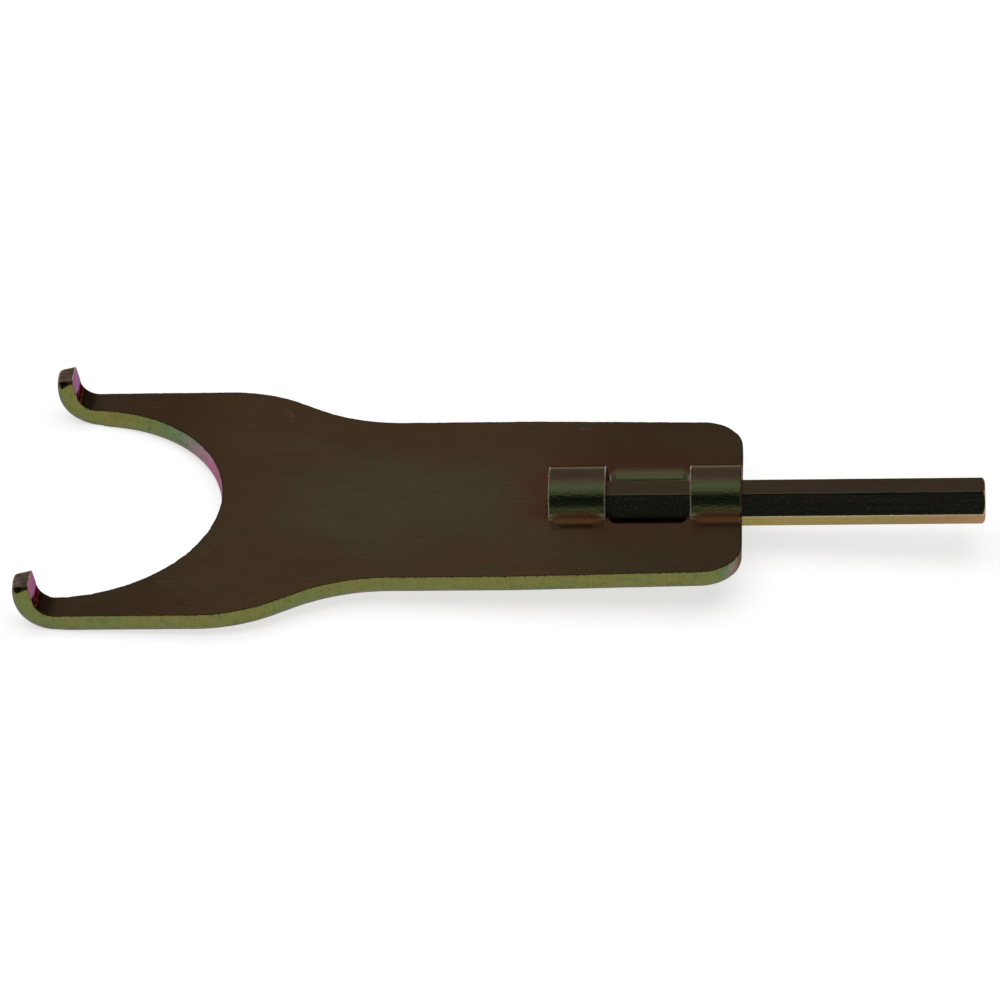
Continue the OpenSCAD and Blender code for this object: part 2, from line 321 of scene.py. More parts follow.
def strip_block(xa, xb, up, end_a, end_b, seed):
    """end: 'join' meets the flat plate, 'shear' a shear line, 'tail' the tail end.
    Returns the top and bottom side rows for stitching."""
    def stations(prof_a, prof_b, step=0.9):
        xs = []
        ra = prof_a[0][0] if prof_a else 0.0
        rb = prof_b[0][0] if prof_b else 0.0
        L0, L1 = xa + ra, xb - rb
        n = max(1, int(round((L1 - L0) / step)))
        core = [(L0 + (L1 - L0) * i / n, 0.0, 0, i) for i in range(n + 1)]
        return core
    out = {}
    for side in ("top", "bot"):
        pa_ = {"join": [], "shear": E_TOP if side == "top" else E_BOT, "tail": None}[end_a]
        if end_b == "tail":
            inset = LV[0][0] if side == "top" else LV[-1][0]
            pb_ = [(inset, 0.0)]
        else:
            pb_ = E_TOP if side == "top" else E_BOT
        rows = []
        x0_ = xa + (pa_[0][0] if pa_ else 0.0)
        x1_ = xb - pb_[0][0]
        n = max(1, int(round((x1_ - x0_) / (0.8))))
        st = []
        if pa_:
            for e, dr in reversed(pa_[1:]):
                st.append((xa + e, dr, 'a', e))
        for i in range(n + 1):
            st.append((x0_ + (x1_ - x0_) * i / n, 0.0, 'c', 0))
        if end_b != "tail":
            for e, dr in pb_[1:]:
                st.append((xb - e, dr, 'b', e))
        for x, dr, w, e in st:
            top, bot = sect(x, xa, xb, up, free_a=(end_a == "join"), free_b=(end_b == "tail"))
            ul = unroll(top)
            row = []
            for j in range(J + 1):
                t, b = top[j], bot[j]
                p, q = (t, b) if side == "top" else (b, t)
                fd = fade_at(j, ul)
                dd = dr * fd
                xx = x
                if w != 'c':
                    sd = seed + (100 if w == 'b' else 0) + (50 if side == "bot" else 0)
                    amp = 0.30 if side == "top" else 0.18
                    dd *= 1.0 + 0.45 * shear_noise(ul[j], sd)
                    gx = GAP * fd * (1.0 + 0.8 * shear_noise(ul[j], sd + 7)) * (1 if w == 'a' else -1)
                    near = max(0.0, 1.0 - e / 0.9)
                    xx = x + gx * near + (1 if w == 'a' else -1) * fd * near * 0.05 * (1 + shear_noise(ul[j], sd + 13))
                L = math.dist(p, q)
                y = p[0] + (q[0] - p[0]) * dd / L
                z = p[1] + (q[1] - p[1]) * dd / L
                if up == 0 and w == 'b' and side == "top":     # small burr left by the shear on the plate's edge
                    z += 0.55 * math.exp(-((y - 1.2) / 0.75) ** 2) * max(0.0, 1 - e / 0.9)
                slope = abs(top[j][1] - H2) if up != 0 else 0.0
                form = float(smooth(slope / 1.2)) if up != 0 else 0.0
                edge_wear_highlight = 0.0
                # pale shear edges: partly bare metal wear, partly painted highlight
                if w != 'c':
                    edge_wear_highlight = fd * max(0.0, 1.0 - e / 0.75)
                jj = min(j, J - j)
                dx = min(x - xa if end_a == "shear" else 99, xb - x if end_b == "shear" else 99)
                if up != 0 and side == "top":                  # painted highlight on the pulled ridge round the ends of each shear line
                    edge_wear_highlight = max(edge_wear_highlight, 0.95 * max(0.0, 1 - abs(jj - NFL - 3) / 3.6) * float(smooth(1.0 - dx / (3.0 if up > 0 else 1.8))))
                fl = float(smooth((jj - NFL + 1.0) / 2.0) * smooth((NFL + NF + 1.5 - jj) / 2.5)) if up > 0 else 0.0
                arch_refl = 0.0
                if up > 0 and side == "top" and t[0] < 0:      # painted dark reflection of the arch on the plate in front of the near foot
                    arch_refl = float(smooth((-t[0] - OY_MID + 0.5) / 0.7) * smooth((OY_MID + 2.6 + t[0]) / 1.6))
                    arch_refl *= float(smooth((x - xa - 2.0) / 3.0)) * (float(smooth((xb - x - 2.0) / 3.0)) if end_b == "shear" else 0.6)
                row.append(addv((xx, y, z), (x, ul[j], H2 if side == "top" else -H2), (0, 0, 0), form, edge_wear_highlight, fl, arch_refl))
            rows.append(row)
        addgrid(rows, 0)
        out[side] = rows
        out[side + "_x"] = [s[0] for s in st]
    # end walls
    def end_wall(rt, rb, x, seed, sgn):
        nlv = 5
        cols = []
        top, bot = sect(x, xa, xb, up, free_a=(end_a == "join"), free_b=(end_b == "tail"))
        ul = unroll(top)
        for j in range(NFL, J - NFL + 1):
            a, b = Vector(V[rt[j]]), Vector(V[rb[j]])
            col = []
            for k in range(nlv + 1):
                f = k / nlv
                p = a.lerp(b, f)
                if 0 < k < nlv:
                    fd = fade_at(j, ul)
                    p.x += sgn * fd * 0.04 * (1 + shear_noise(ul[j], seed + k))
                zz = H2 - T * f
                if k == 0 or k == nlv:
                    iv = rt[j] if k == 0 else rb[j]
                else:
                    iv = addv(tuple(p), (x, ul[j], zz), (ul[j] + 37.0 * seed, zz, 1.0), 0.3)
                col.append(iv)
            cols.append(col)
        addgrid(cols, 1)
    if end_a == "shear":
        end_wall(out["top"][0], out["bot"][0], xa, seed + 3, 1)
    if end_b == "shear":
        end_wall(out["top"][-1], out["bot"][-1], xb, seed + 5, -1)
    if end_b == "tail":
        cols = []
        for j in range(J + 1):
            col = []
            for k in range(NL):
                a, z = LV[k]
                x = xb - a
                top, bot = sect(x, xa, xb, up, free_b=True)
                f = (z + H2) / T
                t, b = top[j], bot[j]
                y = b[0] + (t[0] - b[0]) * f
                zz = b[1] + (t[1] - b[1]) * f
                yy = abs(top[j][0])
                cal = float(smooth((Y_BLK - yy) / 3.0))
                ul = unroll(top)
                if 1 <= k <= 6:
                    x -= cal * [0, .6, 1, 1, .8, .4, .2][k] * (0.06 + 0.09 * abs(shear_noise(ul[j], 300)) + 0.35 * math.exp(-((ul[j] + 19.5) / 0.8) ** 2))
                elif 7 <= k <= 12:
                    x -= cal * 0.03 * (1 + shear_noise(ul[j], 310 + k))
                if k == 0:
                    iv = out["top"][-1][j]
                elif k == NL - 1:
                    iv = out["bot"][-1][j]
                else:
                    iv = addv((x, y, zz), (x, ul[j], z), (ul[j] - 500.0, z, 1.0), 0.3)
                col.append(iv)
            cols.append(col)
        for j in range(J):
            for k in range(NL - 1):
                F.append((cols[j][k], cols[j + 1][k], cols[j + 1][k + 1], cols[j][k + 1]))
                FM.append(0 if k < 1 or k >= NL - 2 else 1)
    return out

XJ = S0 - 3.0
blk = [strip_block(XJ, S0, 0, "join", "shear", 400),
       strip_block(S0, S1, 1, "shear", "shear", 500),
       strip_block(S1, S2, -1, "shear", "shear", 600),
       strip_block(S2, TAIL_X, 1, "shear", "tail", 700)]

# ---- flat faces
def flat_face(side):
    k = 0 if side == "top" else NL - 1
    z = H2 if side == "top" else -H2
    loop = [(float(rings[k][i][0]), float(rings[k][i][1])) for i in range(N)]
    # side of the socket block, from the tail to the jaw side, then across, then back
    neg, pos = [], []
    for b in blk:
        for r, x in zip(b[side], b[side + "_x"]):
            neg.append((x, -Y_BLK)); pos.append((x, Y_BLK))
    def dedupe(l):
        o = [l[0]]
        for p in l[1:]:
            if math.dist(p, o[-1]) > 1e-4:
                o.append(p)
        return o
    neg, pos = dedupe(neg), dedupe(pos)
    across = [(XJ, V[i][1]) for i in blk[0][side][0]]
    hole = list(reversed(neg)) + across[1:-1] + pos      # tail -> jaw side along -Y, across, back along +Y
    poly = loop + hole[1:-1]
    nb = len(poly)
    P = np.array(poly)
    inner = []
    # arms and bends: rows square to the arm
    for sg in (1, -1):
        s = S_MIN + 2.6
        while s < 10:
            for y in np.linspace(JAW_R + 2.4, HEAD - 2.4, 4):
                if np.min(np.hypot(P[:, 0] - s, P[:, 1] - sg * y)) > 0.12:
                    inner.append((s, sg * y))
            s += 0.5
    g = 3.0
    for ix in range(int(10 / g), int(TAIL_X / g) + 1):
        for iy in range(-20, 21):
            x, y = ix * g + (g / 2 if iy % 2 else 0) + 1.0, iy * g
            if x < 11.5 or x > TAIL_X - 2.5 or abs(y) > HEAD - 2.5:
                continue
            if math.hypot(x, y) < JAW_R + 2.8:
                continue
            if x > XJ - 1.5 and abs(y) < Y_BLK + 1.5:
                continue
            dd = np.min(np.hypot(P[:, 0] - x, P[:, 1] - y))
            if dd < 1.4:
                continue
            inner.append((x, y))
    allp = [Vector(p) for p in poly + inner]
    edges = [(i, (i + 1) % nb) for i in range(nb)]
    vo, eo, fo, _, _, _ = delaunay_2d_cdt(allp, edges, [], 1, 1e-5)
    base = [addv(bend3(v[0], v[1], z), (v[0], v[1], z), (0, 0, 0), float(smooth((BEND_X + 4 - v[0]) / 5.0))) for v in vo]
    for f in fo:
        F.append(tuple(base[i] for i in f)); FM.append(0)
    return len(fo), len(vo) - len(allp)

fstat = [flat_face("top"), flat_face("bot")]

def make_mesh(name, V, F, FM, attrs, weld=4e-3, sharp=38):
    bm = bmesh.new()
    lay = {}
    for an, (kind, data) in attrs.items():
        lay[an] = (bm.verts.layers.float_vector if kind == "v" else bm.verts.layers.float).new(an)
    bv = []
    lo_, hi_ = (plo, phi_) if name == "fork_plate_formed" else (blo, bhi)
    for i, p in enumerate(V):
        p = [min(max(float(c), float(a)), float(b)) for c, a, b in zip(p, lo_, hi_)]
        v = bm.verts.new((p[0] * MM, p[1] * MM, p[2] * MM))
        for an, (kind, data) in attrs.items():
            v[lay[an]] = Vector([c * MM for c in data[i]]) if kind == "v" else float(data[i])
        bv.append(v)
    for f, m in zip(F, FM):
        f = list(dict.fromkeys(f))
        if len(f) < 3:
            continue
        try:
            bf = bm.faces.new([bv[i] for i in f])
            bf.material_index = m
            bf.smooth = True
        except ValueError:
            pass
    bmesh.ops.remove_doubles(bm, verts=bm.verts[:], dist=weld * MM)
    bmesh.ops.dissolve_degenerate(bm, dist=1e-7, edges=bm.edges[:])
    loose = [v for v in bm.verts if not v.link_faces]
    bmesh.ops.delete(bm, geom=loose, context="VERTS")
    bmesh.ops.recalc_face_normals(bm, faces=bm.faces[:])
    open_e = sum(1 for e in bm.edges if len(e.link_faces) != 2)
    vol = bm.calc_volume()
    if vol < 0:
        bmesh.ops.reverse_faces(bm, faces=bm.faces[:])
    me = bpy.data.meshes.new(name)
    bm.to_mesh(me)
    bm.free()
    me.set_sharp_from_angle(angle=math.radians(sharp))
    print(name, "verts", len(me.vertices), "faces", len(me.polygons), "open or crossed edges", open_e, "volume mm3", round(vol * 1e9, 1))
    ob = bpy.data.objects.new(name, me)
    bpy.context.scene.collection.objects.link(ob)
    return ob

print("flat faces", fstat)
plate = make_mesh("fork_plate_formed", V, F, FM, {"flat": ("v", FLAT), "wall": ("v", WALL), "form": ("f", FORM), "edge": ("f", EDGE_WEAR_HIGHLIGHT), "fil": ("f", FIL), "arch_reflection": ("f", ARCH_REFLECTION)})

# ------------------------------------------------------------------ bar
BV, BF, BM, BFL = [], [], [], []
x0, x1 = blo[0], bhi[0]
L = x1 - x0
def hex_r(th, rc=0.5):
    """Radius of a hexagon with slightly rounded corners, flats at +-Z; th from +Y."""
    a = (th - math.pi / 2 + math.pi / 6) % (math.pi / 3) - math.pi / 6     # angle from the nearest flat's normal
    ap = HEX_AF / 2
    ac = math.pi / 6 - abs(a)                                              # angle from the corner
    r = ap / math.cos(a)
    # rounded corner: circle of radius rc tangent to both flats
    dc = (ap - rc) / math.cos(math.pi / 6)
    s = dc * math.sin(ac)
    if s < rc:
        rr = dc * math.cos(ac) + math.sqrt(rc * rc - s * s)
        lim = math.atan2(rc * math.sin(math.pi / 6), dc + rc * math.cos(math.pi / 6))
        if ac < lim:
            r = min(r, rr)
    return r
angs = []
for c in range(6):
    a0 = c * math.pi / 3
    for t in (0, 0.5, 1.0, 1.5, 2.1, 3.0, 5.0, 9.0, 14.0, 22.0, 30.0, 38.0, 46.0, 51.0, 55.0, 57.0, 57.9, 58.5, 59.0, 59.5):
        angs.append(a0 + math.radians(t))
NA = len(angs)
def end_prof(e):
    """Cone of the end chamfer at distance e from the end face, softened."""
    return (HEX_AF / 2 - 0.15) + (HEX_R + 0.2 - HEX_AF / 2 + 0.15) * e / 0.9
xs = [0.0, 0.08, 0.16, 0.26, 0.38, 0.52, 0.66, 0.8, 0.95, 1.15, 1.5, 2.2]
n = 150
core = [2.2 + (L - 4.4) * i / n for i in range(1, n)]
xs = xs + core + [L - e for e in reversed(xs)]
rows = []
for x in xs:
    e = min(x, L - x)
    row = []
    for ai, th in enumerate(angs):
        r = hex_r(th)
        lim = end_prof(e) - (0.16 * max(0.0, 1 - e / 0.16)) ** 1.0
        if e < 1.2:
            k = 0.10
            r = -k * math.log(math.exp(-r / k) + math.exp(-lim / k)) if abs(r - lim) < 1.5 else min(r, lim)
        fl = int(round((th - math.pi / 6) / (math.pi / 3))) % 6
        wv = 0.010 * vn(x / 7.0 + 50 * fl, 800 + fl) + 0.006 * vn(x / 2.6 + 50 * fl, 820 + fl)
        r -= 0.018 + wv
        row.append(len(BV))
        BV.append((x0 + x, r * math.cos(th), r * math.sin(th)))
        BFL.append((x0 + x, th * 7.0, r))
    rows.append(row)
for i in range(len(rows) - 1):
    for j in range(NA):
        k = (j + 1) % NA
        BF.append((rows[i][j], rows[i + 1][j], rows[i + 1][k], rows[i][k])); BM.append(0)
for row, xx, sg in ((rows[0], x0, 1), (rows[-1], x1, -1)):
    prev = row
    for q, dx in ((0.93, 0.0), (0.7, 0.02), (0.4, 0.03), (0.12, 0.03)):
        ring = []
        for j in range(NA):
            p = BV[row[j]]
            ring.append(len(BV))
            nz = 0.015 * vn(angs[j] * 4 + q * 9, 850)
            BV.append((xx + sg * (dx + abs(nz) * (q < 0.9)), p[1] * q, p[2] * q)); BFL.append((xx, p[1] * q * 3, p[2] * q * 3))
        for j in range(NA):
            k = (j + 1) % NA
            BF.append((prev[j], prev[k], ring[k], ring[j])); BM.append(1)
        prev = ring
    c = len(BV)
    BV.append((xx + sg * 0.03, 0, 0)); BFL.append((xx, 0, 0))
    for j in range(NA):
        BF.append((prev[j], prev[(j + 1) % NA], c)); BM.append(1)
bar = make_mesh("hex_drive_bar", BV, BF, BM, {"flat": ("v", BFL)}, weld=1e-4, sharp=50)

# ------------------------------------------------------------------ materials
class Nodes:
    def __init__(self, name):
        self.m = bpy.data.materials.new(name)
        self.m.use_nodes = True
        self.t = self.m.node_tree
        self.t.nodes.clear()
        self.out = self.t.nodes.new("ShaderNodeOutputMaterial")
    def n(self, kind, **kw):
        nd = self.t.nodes.new("ShaderNode" + kind)
        for k, v in kw.items():
            setattr(nd, k, v)
        return nd
    def l(self, a, b):
        self.t.links.new(a, b)
    def attr(self, name):
        return self.n("Attribute", attribute_name=name).outputs
    def vec(self, src, scale, loc=(0, 0, 0)):
        m = self.n("Mapping")
        m.inputs["Scale"].default_value = scale
        m.inputs["Location"].default_value = loc
        self.l(src, m.inputs["Vector"])
        return m.outputs[0]
    def noise(self, src, scale=1.0, detail=3.0, rough=0.55, dist=0.0):
        t = self.n("TexNoise")
        t.inputs["Scale"].default_value = scale
        t.inputs["Detail"].default_value = detail
        t.inputs["Roughness"].default_value = rough
        t.inputs["Distortion"].default_value = dist
        self.l(src, t.inputs["Vector"])
        return t.outputs["Fac"]
    def voro(self, src, scale=1.0, feature="F1", rnd=1.0):
        t = self.n("TexVoronoi", feature=feature)
        t.inputs["Scale"].default_value = scale
        t.inputs["Randomness"].default_value = rnd
        self.l(src, t.inputs["Vector"])
        return t.outputs["Distance"]
    def rng(self, src, a, b, c=0.0, d=1.0, kind="SMOOTHSTEP"):
        t = self.n("MapRange", interpolation_type=kind)
        for i, v in enumerate((a, b, c, d)):
            t.inputs[i + 1].default_value = v
        self.l(src, t.inputs[0])
        return t.outputs[0]
    def math(self, op, a, b=None, clamp=False):
        t = self.n("Math", operation=op, use_clamp=clamp)
        for i, v in enumerate((a, b)):
            if v is None:
                continue
            if isinstance(v, (int, float)):
                t.inputs[i].default_value = v
            else:
                self.l(v, t.inputs[i])
        return t.outputs[0]
    def mix(self, fac, a, b, mode="MIX"):
        t = self.n("Mix", data_type="RGBA", blend_type=mode)
        for key, v in (("Factor", fac), ("A", a), ("B", b)):
            s = [i for i in t.inputs if i.name == key and (i.type == ("VALUE" if key == "Factor" else "RGBA"))][0]
            if isinstance(v, (int, float)):
                s.default_value = v
            elif isinstance(v, tuple):
                s.default_value = (*v, 1.0)
            else:
                self.l(v, s)
        return [o for o in t.outputs if o.type == "RGBA"][0]
    def ramp(self, src, stops, mode="B_SPLINE"):
        t = self.n("ValToRGB")
        cr = t.color_ramp
        cr.interpolation = mode
        while len(cr.elements) > 1:
            cr.elements.remove(cr.elements[-1])
        cr.elements[0].position = stops[0][0]
        cr.elements[0].color = (*stops[0][1], 1)
        for p, c in stops[1:]:
            e = cr.elements.new(p)
            e.color = (*c, 1)
        self.l(src, t.inputs[0])
        return t.outputs[0]
    def facing(self):
        lw = self.n("LayerWeight")
        lw.inputs["Blend"].default_value = 0.5
        return lw.outputs["Facing"]
    def sep(self, src):
        s = self.n("SeparateXYZ")
        self.l(src, s.inputs[0])
        return s.outputs
    def bump(self, h, strength, dist, normal=None):
        b = self.n("Bump")
        b.inputs["Strength"].default_value = strength
        b.inputs["Distance"].default_value = dist
        self.l(h, b.inputs["Height"])
        if normal is not None:
            self.l(normal, b.inputs["Normal"])
        return b.outputs[0]
    def metal(self, color, rough, normal=None, coat=0.0):
        p = self.n("BsdfPrincipled")
        p.inputs["Metallic"].default_value = 1.0
        self.l(color, p.inputs["Base Color"])
        self.l(color, p.inputs["Specular Tint"])
        if isinstance(rough, (int, float)):
            p.inputs["Roughness"].default_value = rough
        else:
            self.l(rough, p.inputs["Roughness"])
        if normal is not None:
            self.l(normal, p.inputs["Normal"])
        if coat:
            p.inputs["Coat Weight"].default_value = coat
            p.inputs["Coat Roughness"].default_value = 0.12
        self.l(p.outputs[0], self.out.inputs[0])
        return p

# interference colours of the chromate by angle: 0 square on, 1 grazing
IR_ROLLED = [(0.0, (0.36, 0.36, 0.18)), (0.18, (0.34, 0.38, 0.18)), (0.30, (0.40, 0.31, 0.17)), (0.39, (0.43, 0.245, 0.135)), (0.6, (0.42, 0.22, 0.18)), (0.85, (0.46, 0.30, 0.50)), (0.95, (0.50, 0.36, 0.62)), (1.0, (0.5, 0.4, 0.55))]
IR_SHEAR = [(0.0, (0.18, 0.14, 0.045)), (0.22, (0.155, 0.155, 0.044)), (0.35, (0.10, 0.165, 0.07)), (0.50, (0.20, 0.19, 0.17)), (0.67, (0.46, 0.245, 0.335)), (0.93, (0.43, 0.235, 0.325))]

IR_FORM = [(0.0, (0.20, 0.25, 0.105)), (0.14, (0.21, 0.25, 0.11)), (0.20, (0.33, 0.28, 0.16)), (0.26, (0.46, 0.31, 0.20)), (0.34, (0.62, 0.37, 0.24)),
           (0.43, (0.60, 0.39, 0.27)), (0.51, (0.36, 0.28, 0.21)), (0.62, (0.27, 0.24, 0.195)), (1.0, (0.27, 0.24, 0.195))]

def rolled():
    n = Nodes("chromate_rolled")
    flat = n.attr("flat")["Vector"]
    form = n.attr("form")["Fac"]
    face = n.facing()
    big = n.noise(n.vec(flat, (16, 26, 10)), 1.0, 2.5, 0.5, 0.6)
    mid_ = n.noise(n.vec(flat, (60, 95, 10), (3, 1, 0)), 1.0, 5.0, 0.65, 0.5)
    streak = n.noise(n.vec(flat, (30, 1700, 10), (0, 9, 0)), 1.0, 5.0, 0.65)
    fine = n.noise(n.vec(flat, (260, 5200, 10)), 1.0, 3.0, 0.6)
    base = n.ramp(face, IR_ROLLED)
    # olive patches along the middle of the neck, redder around the socket
    xyz = n.sep(flat)
    midy = n.rng(n.math("ABSOLUTE", xyz[1]), 0.004, 0.034, 1.0, 0.0)
    neck = n.math("MULTIPLY", n.math("MULTIPLY", n.rng(xyz[0], 0.050, 0.085, 0, 1), n.rng(xyz[0], 0.128, 0.158, 1, 0)), midy)
    ol = n.math("ADD", n.math("MULTIPLY", neck, 0.75), n.rng(n.math("ADD", big, n.math("MULTIPLY", mid_, 0.35)), 0.62, 0.90, 0.0, 0.65), clamp=True)
    headneck = n.math("MULTIPLY", n.rng(xyz[0], 0.020, 0.055, 0, 1), n.rng(xyz[0], 0.140, 0.185, 1, 0))
    base = n.mix(headneck, base, n.mix(1.0, base, (1.30, 1.32, 1.22), "MULTIPLY"))
    c = n.mix(ol, base, n.mix(1.0, base, (0.98, 1.40, 1.36), "MULTIPLY"))
    sx = n.math("SUBTRACT", xyz[0], 0.182)
    sr = n.math("ADD", n.math("POWER", n.math("DIVIDE", sx, 0.042), 2.0), n.math("POWER", n.math("DIVIDE", xyz[1], 0.026), 2.0))
    red = n.math("MULTIPLY", n.rng(sr, 0.5, 1.5, 1, 0), n.rng(mid_, 0.3, 0.62, 0.2, 1.0))
    c = n.mix(n.math("MULTIPLY", red, 0.7), c, n.mix(1.0, c, (1.22, 0.80, 0.84), "MULTIPLY"))
    # lengthwise streaks
    c = n.mix(n.rng(streak, 0.36, 0.66, 0.0, 0.16), c, n.mix(1.0, c, (1.45, 1.28, 1.22), "MULTIPLY"))
    c = n.mix(n.rng(mid_, 0.5, 0.75, 0.0, 0.5), c, n.mix(1.0, c, (0.74, 0.78, 0.82), "MULTIPLY"))
    # scratches: a few long thin lines, and small bright specks
    w1 = n.noise(n.vec(flat, (22, 60, 1), (5, 2, 0)), 1.0, 1.5, 0.5, 1.3)
    line = n.rng(n.math("ABSOLUTE", n.math("SUBTRACT", w1, 0.56)), 0.0, 0.0045, 1.0, 0.0)
    gate = n.rng(n.noise(n.vec(flat, (60, 60, 1), (1, 7, 0)), 1.0, 1.0), 0.52, 0.62, 0, 1)
    scr = n.math("MULTIPLY", line, gate)
    vo = n.voro(n.vec(flat, (420, 420, 420)), 1.0)
    spk = n.math("MULTIPLY", n.rng(vo, 0.06, 0.12, 1.0, 0.0), n.rng(n.noise(n.vec(flat, (130, 130, 1), (8, 3, 0)), 1.0, 1.0), 0.56, 0.68, 0, 1))
    mark = n.math("MAXIMUM", n.math("MULTIPLY", scr, 0.55), n.math("MULTIPLY", spk, 0.6))
    c = n.mix(mark, c, (0.62, 0.60, 0.56))
    # stretched metal is greyer and duller
    fn = n.noise(n.vec(flat, (900, 1500, 900)), 1.0, 4.0, 0.7)
    c = n.mix(n.math("MULTIPLY", form, n.rng(fn, 0.35, 0.65, 0.0, 0.55)), c, n.mix(1.0, c, (0.80, 0.86, 0.92), "MULTIPLY"))
    # the pressed socket: its own thinner, greener coating
    sock = n.math("MULTIPLY", n.rng(form, 0.15, 0.6), n.rng(xyz[0], 0.120, 0.140, 0, 1))
    fc_ = n.math("ADD", face, n.rng(fn, 0.3, 0.7, -0.035, 0.035, "LINEAR"))
    c = n.mix(sock, c, n.ramp(fc_, IR_FORM))
    # the fillets at the feet of the arches are redder
    fil = n.attr("fil")["Fac"]
    c = n.mix(n.math("MULTIPLY", fil, 0.9), c, (0.52, 0.235, 0.10))
    # painted dark reflection of the arch on the plate in front of each near foot
    c = n.mix(n.math("MULTIPLY", n.attr("arch_reflection")["Fac"], 0.70), c, (0.05, 0.045, 0.04))
    # painted shade: the inside of each claw's bend, on its upper side, is darkened
    upper = n.rng(xyz[2], 0.0, 0.002, 0.0, 1.0)
    bend_shade = n.math("MULTIPLY", n.rng(xyz[0], (BEND_X + 0.8) * MM, (BEND_X - 5.0) * MM, 0.0, 1.0), n.rng(xyz[0], (BEND_X - ARC_L - 0.6) * MM, (BEND_X - ARC_L * 0.72) * MM, 0.0, 1.0))
    bend_shade = n.math("MULTIPLY", n.math("MULTIPLY", bend_shade, upper), n.rng(fn, 0.28, 0.6, 0.72, 1.0))
    c = n.mix(n.math("MULTIPLY", bend_shade, 0.90), c, (0.045, 0.030, 0.026))
    # the faces that look along the bar at the tail are greyish
    tl = n.math("MULTIPLY", n.rng(xyz[0], 0.195, 0.208, 0.0, 0.9), n.math("MULTIPLY", n.rng(face, 0.5, 0.75, 0, 1), n.math("SUBTRACT", 1.0, sock)))
    c = n.mix(tl, c, (0.22, 0.18, 0.14))
    # pale shear edges and ridges: partly bare metal where the shears broke the coating, partly painted highlight where
    # they catch light
    en = n.noise(n.vec(flat, (1300, 900, 900), (2, 6, 1)), 1.0, 3.0, 0.7)
    edge = n.math("MULTIPLY", n.rng(n.attr("edge")["Fac"], 0.18, 0.62, 0.0, 1.0), n.rng(en, 0.34, 0.58, 0.25, 1.0))
    c = n.mix(edge, c, (0.92, 0.80, 0.66))
    rough = n.math("ADD", n.rng(streak, 0.3, 0.7, 0.22, 0.28), n.math("ADD", n.math("MULTIPLY", form, -0.15), n.math("ADD", n.math("ADD", n.math("MULTIPLY", mark, 0.15), n.math("MULTIPLY", fil, 0.34)), n.math("MULTIPLY", edge, 0.35))))
    h = n.math("ADD", n.math("MULTIPLY", fine, 0.4), n.math("ADD", n.math("MULTIPLY", streak, 0.6), n.math("MULTIPLY", n.math("MULTIPLY", fn, form), 1.4)))
    h = n.math("SUBTRACT", h, n.math("MULTIPLY", mark, 0.5))
    low = n.math("MULTIPLY", n.rng(xyz[1], -0.0135, -0.0115, 0.0, 1.0), n.rng(xyz[1], -0.0085, -0.0065, 1.0, 0.0))
    wr = n.noise(n.vec(flat, (420, 2100, 1), (4, 3, 1)), 1.0, 3.0, 0.65)
    h = n.math("ADD", h, n.math("MULTIPLY", n.math("MULTIPLY", n.math("MULTIPLY", low, sock), wr), 16.0))
    nm = n.bump(h, 0.22, 0.00006)
    n.metal(c, rough, nm)
    return n.m

